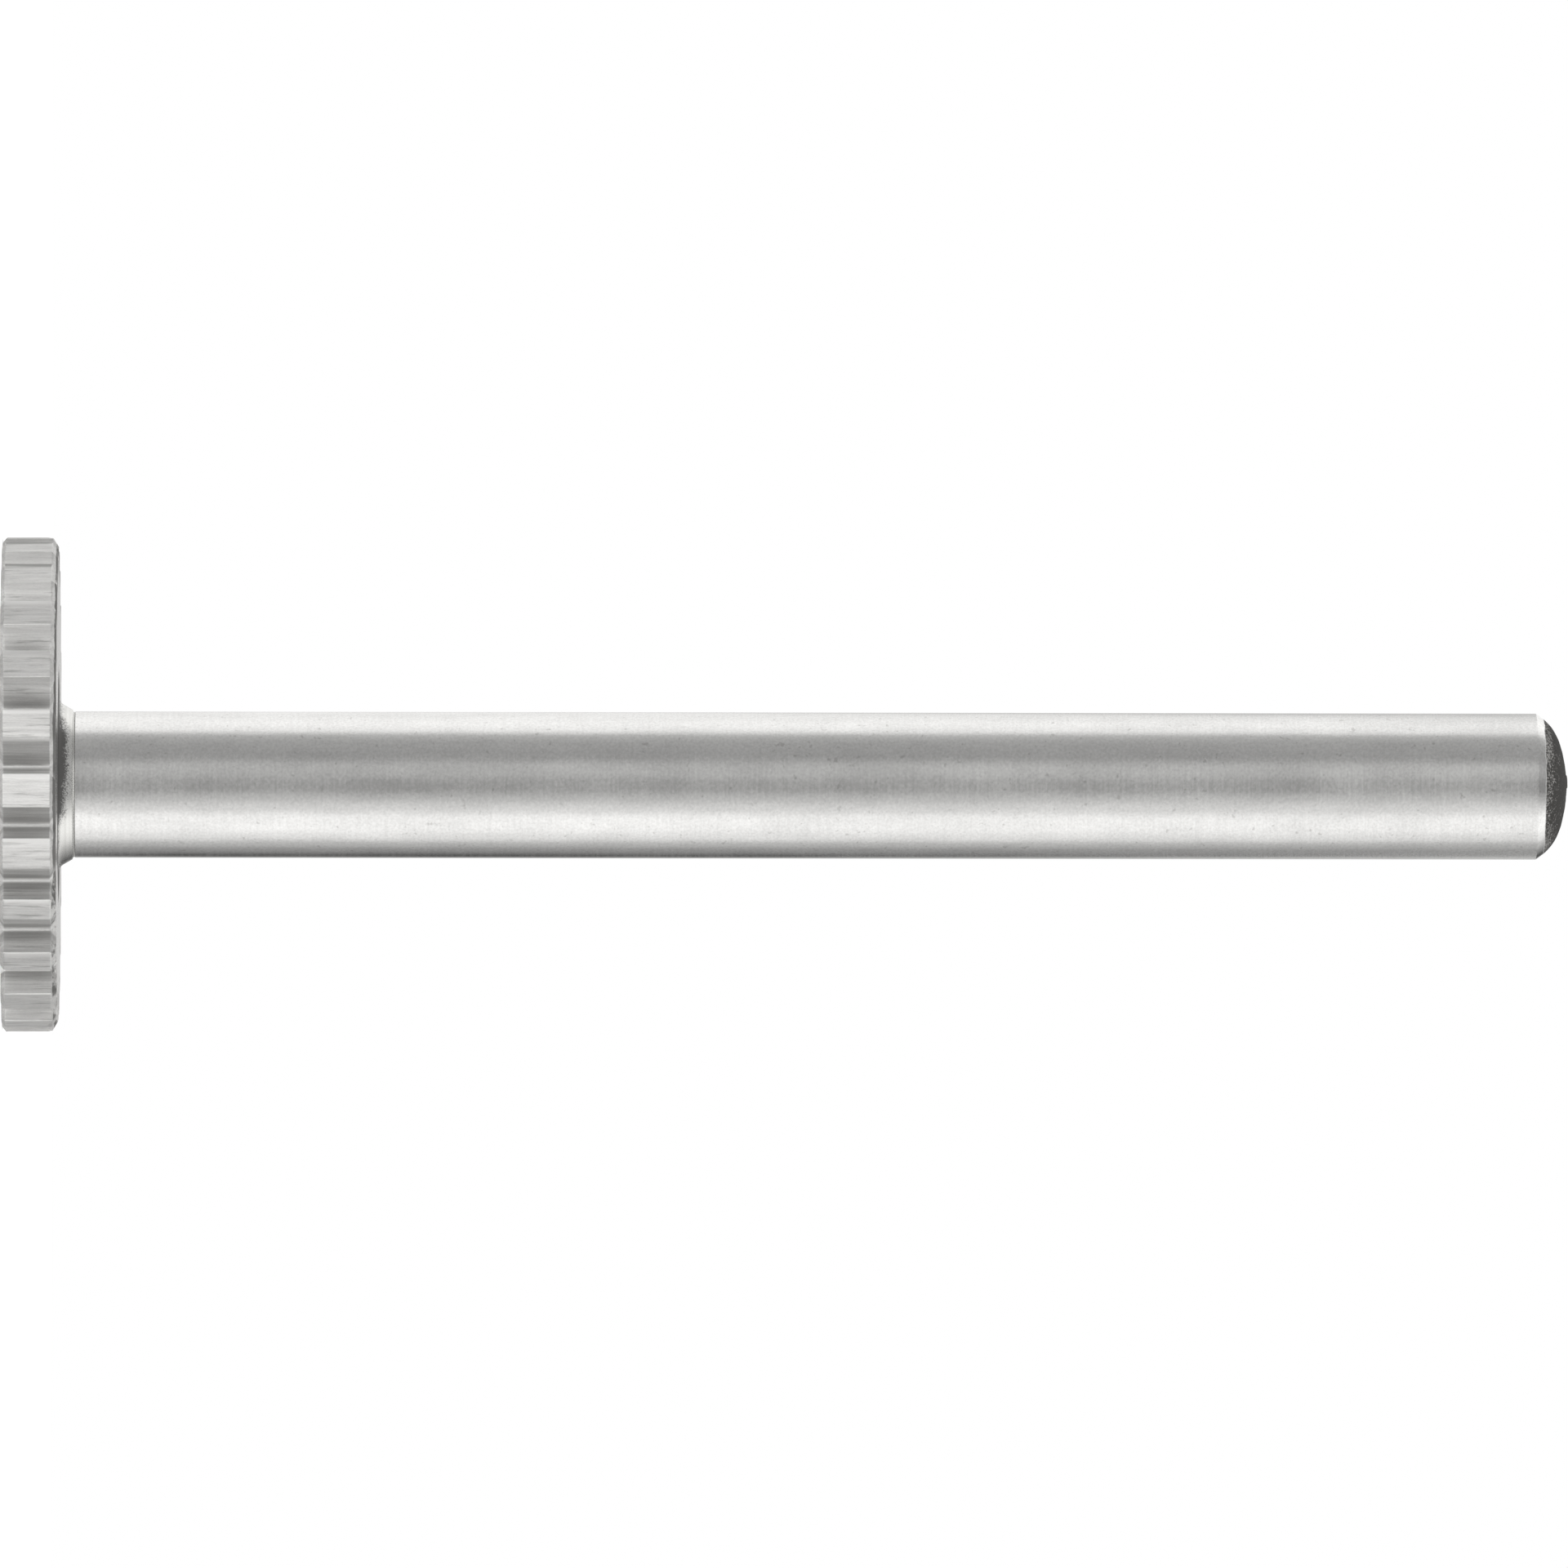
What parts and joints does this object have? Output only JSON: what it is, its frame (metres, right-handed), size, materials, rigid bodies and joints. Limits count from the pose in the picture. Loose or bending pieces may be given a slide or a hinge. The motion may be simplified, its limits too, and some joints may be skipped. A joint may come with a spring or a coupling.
{
  "type": "rotary burr",
  "caption": "One-piece steel rotary burr: a thin disc head with milled teeth round its rim, a short cone neck and a plain round shank for a collet.",
  "frame": {"origin": "centre of the head's flat front face, which the burr stands on", "axes": "+Z runs along the tool from the head to the shank's free end; -Y faces the camera, and a tooth tip lies 2.5 degrees to the -X side of -Y"},
  "size_m": [0.0204, 0.0204, 0.0643],
  "materials": {
    "tool_steel": "ground shank with fine marks round it, milled teeth, dark unground end"
  },
  "bodies": {
    "root": {"disc_burr": "tool_steel"}
  },
  "joints": []
}
